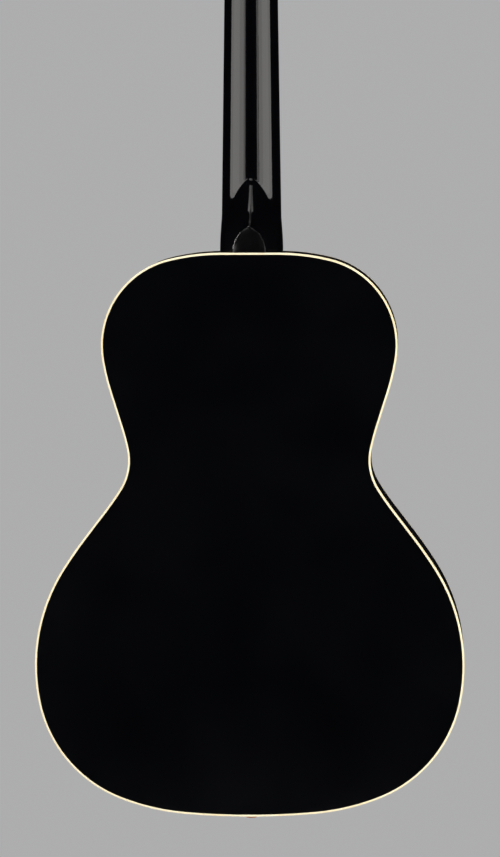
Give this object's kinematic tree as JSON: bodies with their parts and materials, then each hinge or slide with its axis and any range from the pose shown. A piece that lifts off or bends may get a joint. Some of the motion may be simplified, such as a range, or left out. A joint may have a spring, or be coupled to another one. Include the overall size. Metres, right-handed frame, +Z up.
{
  "type": "acoustic guitar",
  "caption": "Steel-string acoustic guitar with a black gloss body, ivory binding, arched back, heel-jointed neck, and worm-geared tuners that turn the string posts.",
  "frame": {"origin": "centre of the strap pin's rim, on the pin's axis at the tail, halfway through the body's depth", "axes": "+Z up the neck from tail to headstock, +Y out of the back, -Y out of the soundboard, bass side towards -X"},
  "size_m": [0.3752, 0.1199, 1.0241],
  "materials": {
    "black_lacquer": "high gloss black lacquer over wood",
    "black_lacquer_top": "high gloss black lacquer over spruce",
    "ivory_binding": "polished aged ivory celluloid",
    "mahogany": "bare sanded wood",
    "spruce": "bare sanded wood",
    "maple": "bare sanded wood",
    "black_plastic": "polished",
    "rosewood": "oiled open grain",
    "bone": "polished bone",
    "cream_plastic": "polished",
    "amber_plastic": "polished amber brown",
    "nickel": "polished nickel plate",
    "pearl": "mother of pearl",
    "steel": "plain steel wire",
    "bronze": "phosphor bronze winding",
    "brass": "cut brass"
  },
  "bodies": {
    "instrument": {"soundboard": "black_lacquer_top", "back_plate": "black_lacquer", "side_bass": "black_lacquer", "side_treble": "black_lacquer", "top_binding": "ivory_binding", "back_binding": "ivory_binding", "top_lining": "mahogany", "back_lining": "mahogany", "neck_block": "mahogany", "tail_block": "mahogany", "x_brace_bass": "spruce", "x_brace_treble": "spruce", "top_braces": "spruce", "bridge_plate": "maple", "back_braces": "spruce", "back_center_strip": "spruce", "rosette": "ivory_binding", "pickguard": "black_plastic", "bridge": "rosewood", "saddle": "bone", "bridge_pins": "cream_plastic", "end_pin": "amber_plastic", "neck": "black_lacquer", "heel_cap": "black_plastic", "fingerboard": "rosewood", "frets": "nickel", "position_dots": "pearl", "nut": "bone", "truss_rod": "steel", "truss_rod_cover": "black_plastic", "head_veneer": "black_lacquer", "tuner_plates": "nickel", "post_bushings": "nickel", "wood_screws": "nickel", "plain_strings": "steel", "wound_strings": "bronze"},
    "tuner_key_1": {"tuner_worm_1": "nickel", "tuner_button_1": "cream_plastic"},
    "tuner_post_1": {"string_post_1": "nickel", "tuner_gear_1": "brass"},
    "tuner_key_2": {"tuner_worm_2": "nickel", "tuner_button_2": "cream_plastic"},
    "tuner_post_2": {"string_post_2": "nickel", "tuner_gear_2": "brass"},
    "tuner_key_3": {"tuner_worm_3": "nickel", "tuner_button_3": "cream_plastic"},
    "tuner_post_3": {"string_post_3": "nickel", "tuner_gear_3": "brass"},
    "tuner_key_4": {"tuner_worm_4": "nickel", "tuner_button_4": "cream_plastic"},
    "tuner_post_4": {"string_post_4": "nickel", "tuner_gear_4": "brass"},
    "tuner_key_5": {"tuner_worm_5": "nickel", "tuner_button_5": "cream_plastic"},
    "tuner_post_5": {"string_post_5": "nickel", "tuner_gear_5": "brass"},
    "tuner_key_6": {"tuner_worm_6": "nickel", "tuner_button_6": "cream_plastic"},
    "tuner_post_6": {"string_post_6": "nickel", "tuner_gear_6": "brass"}
  },
  "joints": [
    {"name": "tuner_turn_1", "type": "hinge", "parent": "instrument", "child": "tuner_key_1", "pos_m": [0.02121, -0.02934, 0.87437], "axis": [0.9991, -0.0108, -0.0402], "continuous": true},
    {"name": "post_turn_1", "type": "hinge", "parent": "instrument", "child": "tuner_post_1", "pos_m": [0.0215, -0.04367, 0.88544], "axis": [0, -0.9659, 0.2588], "continuous": true},
    {"name": "tuner_turn_2", "type": "hinge", "parent": "instrument", "child": "tuner_key_2", "pos_m": [0.02271, -0.02003, 0.90914], "axis": [0.9991, -0.0108, -0.0402], "continuous": true},
    {"name": "post_turn_2", "type": "hinge", "parent": "instrument", "child": "tuner_post_2", "pos_m": [0.023, -0.03435, 0.92022], "axis": [0, -0.9659, 0.2588], "continuous": true},
    {"name": "tuner_turn_3", "type": "hinge", "parent": "instrument", "child": "tuner_key_3", "pos_m": [0.02421, -0.01071, 0.94391], "axis": [0.9991, -0.0108, -0.0402], "continuous": true},
    {"name": "post_turn_3", "type": "hinge", "parent": "instrument", "child": "tuner_post_3", "pos_m": [0.0245, -0.02503, 0.95499], "axis": [0, -0.9659, 0.2588], "continuous": true},
    {"name": "tuner_turn_4", "type": "hinge", "parent": "instrument", "child": "tuner_key_4", "pos_m": [-0.02421, -0.01071, 0.94391], "axis": [-0.9991, -0.0108, -0.0402], "continuous": true},
    {"name": "post_turn_4", "type": "hinge", "parent": "instrument", "child": "tuner_post_4", "pos_m": [-0.0245, -0.02503, 0.95499], "axis": [0, -0.9659, 0.2588], "continuous": true},
    {"name": "tuner_turn_5", "type": "hinge", "parent": "instrument", "child": "tuner_key_5", "pos_m": [-0.02271, -0.02003, 0.90914], "axis": [-0.9991, -0.0108, -0.0402], "continuous": true},
    {"name": "post_turn_5", "type": "hinge", "parent": "instrument", "child": "tuner_post_5", "pos_m": [-0.023, -0.03435, 0.92022], "axis": [0, -0.9659, 0.2588], "continuous": true},
    {"name": "tuner_turn_6", "type": "hinge", "parent": "instrument", "child": "tuner_key_6", "pos_m": [-0.02121, -0.02934, 0.87437], "axis": [-0.9991, -0.0108, -0.0402], "continuous": true},
    {"name": "post_turn_6", "type": "hinge", "parent": "instrument", "child": "tuner_post_6", "pos_m": [-0.0215, -0.04367, 0.88544], "axis": [0, -0.9659, 0.2588], "continuous": true}
  ],
  "couplings": [
    {"joint": "post_turn_1", "follows": "tuner_turn_1", "ratio": -0.071429},
    {"joint": "post_turn_2", "follows": "tuner_turn_2", "ratio": -0.071429},
    {"joint": "post_turn_3", "follows": "tuner_turn_3", "ratio": -0.071429},
    {"joint": "post_turn_4", "follows": "tuner_turn_4", "ratio": -0.071429},
    {"joint": "post_turn_5", "follows": "tuner_turn_5", "ratio": -0.071429},
    {"joint": "post_turn_6", "follows": "tuner_turn_6", "ratio": -0.071429}
  ]
}
